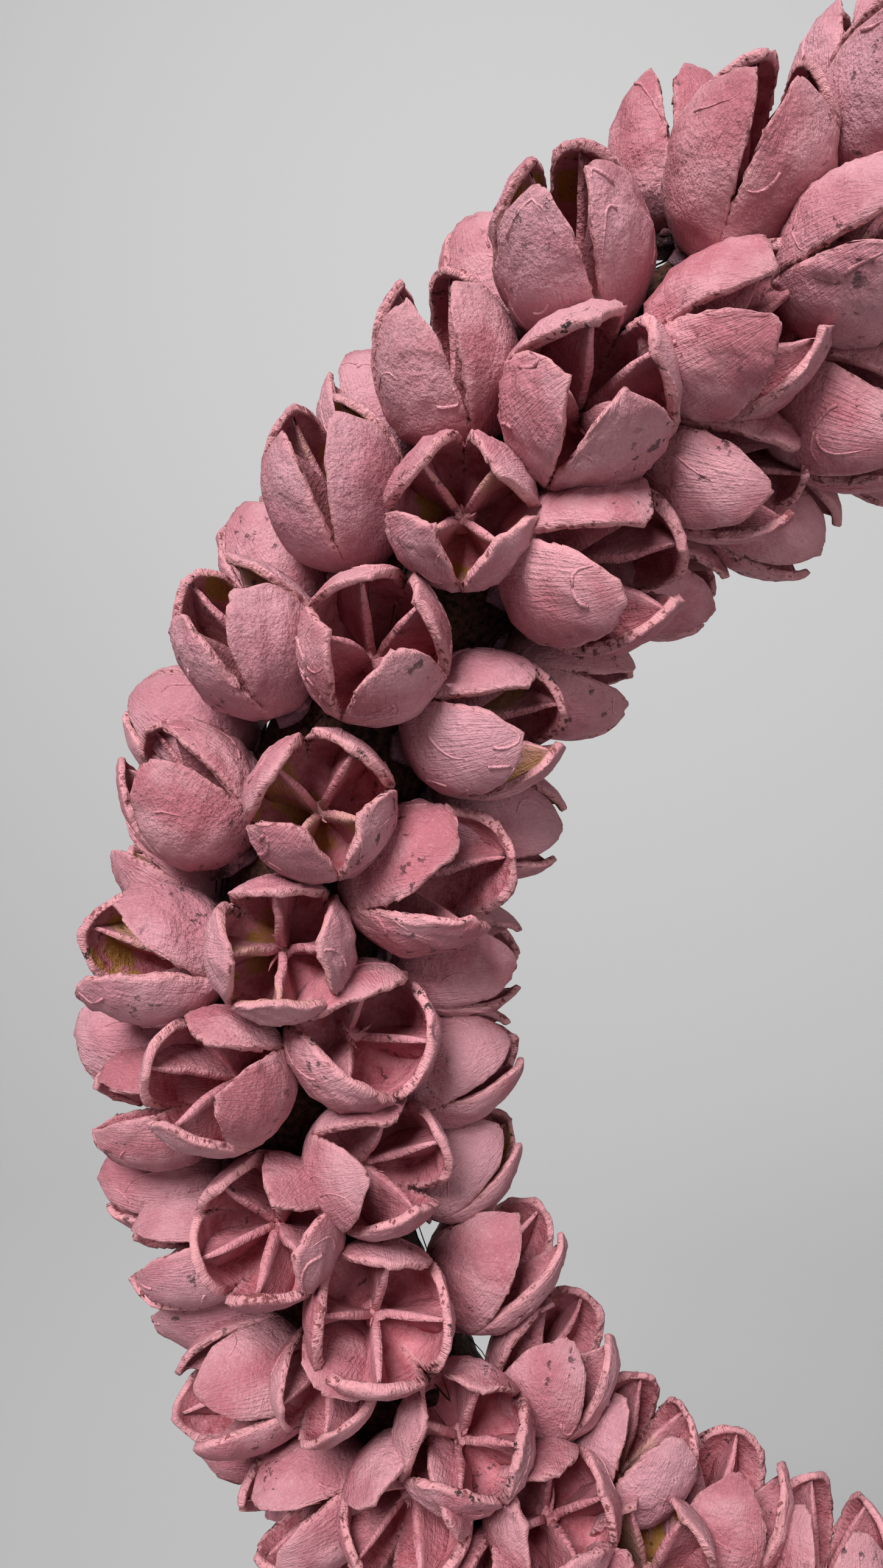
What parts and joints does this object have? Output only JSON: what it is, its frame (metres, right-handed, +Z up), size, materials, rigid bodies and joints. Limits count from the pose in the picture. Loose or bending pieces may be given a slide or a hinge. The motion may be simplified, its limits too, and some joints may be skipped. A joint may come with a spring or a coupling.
{
  "type": "door wreath",
  "caption": "Ring wreath covered with split woody seed pods painted dusty pink, glued to a coir ring, with a wire loop behind to hang it on a door.",
  "frame": {"origin": "the top inside of the wire eye, where a nail or hook bears", "axes": "+Z up as the wreath hangs, -Y towards the room, the wreath's plane is XZ"},
  "size_m": [0.3847, 0.0661, 0.3826],
  "materials": {
    "pods": "chalky matte dusty pink paint on rough seed pod wood",
    "coir": "dark brown coir fibre, matte",
    "wire": "plain drawn steel wire, slightly dull"
  },
  "bodies": {
    "root": {"coir_ring": "coir", "wire_hoop": "wire", "hanging_loop": "wire", "pods_outer_01": "pods", "pods_outer_02": "pods", "pods_outer_03": "pods", "pods_outer_04": "pods", "pods_outer_05": "pods", "pods_outer_06": "pods", "pods_outer_07": "pods", "pods_outer_08": "pods", "pods_outer_09": "pods", "pods_outer_10": "pods", "pods_outer_11": "pods", "pods_outer_12": "pods", "pods_outer_front_01": "pods", "pods_outer_front_02": "pods", "pods_outer_front_03": "pods", "pods_outer_front_04": "pods", "pods_outer_front_05": "pods", "pods_outer_front_06": "pods", "pods_outer_front_07": "pods", "pods_outer_front_08": "pods", "pods_outer_front_09": "pods", "pods_outer_front_10": "pods", "pods_outer_front_11": "pods", "pods_outer_front_12": "pods", "pods_front_01": "pods", "pods_front_02": "pods", "pods_front_03": "pods", "pods_front_04": "pods", "pods_front_05": "pods", "pods_front_06": "pods", "pods_front_07": "pods", "pods_front_08": "pods", "pods_front_09": "pods", "pods_front_10": "pods", "pods_front_11": "pods", "pods_front_12": "pods", "pods_inner_front_01": "pods", "pods_inner_front_02": "pods", "pods_inner_front_03": "pods", "pods_inner_front_04": "pods", "pods_inner_front_05": "pods", "pods_inner_front_06": "pods", "pods_inner_front_07": "pods", "pods_inner_front_08": "pods", "pods_inner_front_09": "pods", "pods_inner_front_10": "pods", "pods_inner_01": "pods", "pods_inner_02": "pods", "pods_inner_03": "pods", "pods_inner_04": "pods", "pods_inner_05": "pods", "pods_inner_06": "pods", "pods_inner_07": "pods", "pods_inner_08": "pods", "pods_inner_09": "pods", "pods_inner_10": "pods"}
  },
  "joints": []
}
